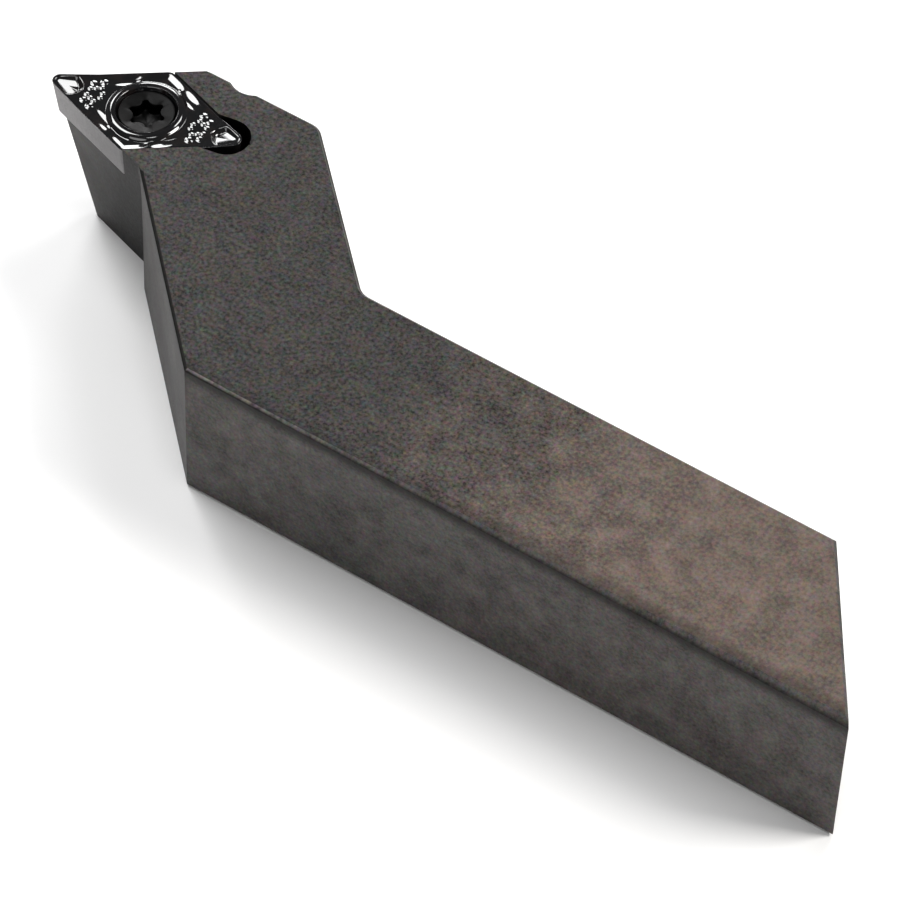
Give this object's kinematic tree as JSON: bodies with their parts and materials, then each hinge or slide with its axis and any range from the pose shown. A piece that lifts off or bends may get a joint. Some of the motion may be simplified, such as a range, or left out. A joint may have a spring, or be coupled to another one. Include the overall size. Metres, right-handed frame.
{
  "type": "bent turning tool",
  "caption": "Square-shank turning tool with a head bent to one side, carrying a screw-clamped rhombic cutting insert for lathe work.",
  "frame": {"origin": "on the shank's flat bottom face, on the shank's centre line, 38.5 mm ahead of the rear end's near corner", "axes": "+X along the shank towards its rear end, +Y to the side the head bends to, +Z from the bottom to the cutting side"},
  "size_m": [0.0962, 0.0302, 0.016],
  "materials": {
    "tool_body": "blackened, fine blasted, satin",
    "insert": "dark coated carbide: glossy top, satin grey flanks",
    "clamp_screw": "black oxide, glossy"
  },
  "bodies": {
    "root": {"tool_body": "tool_body", "insert": "insert", "clamp_screw": "clamp_screw"}
  },
  "joints": []
}
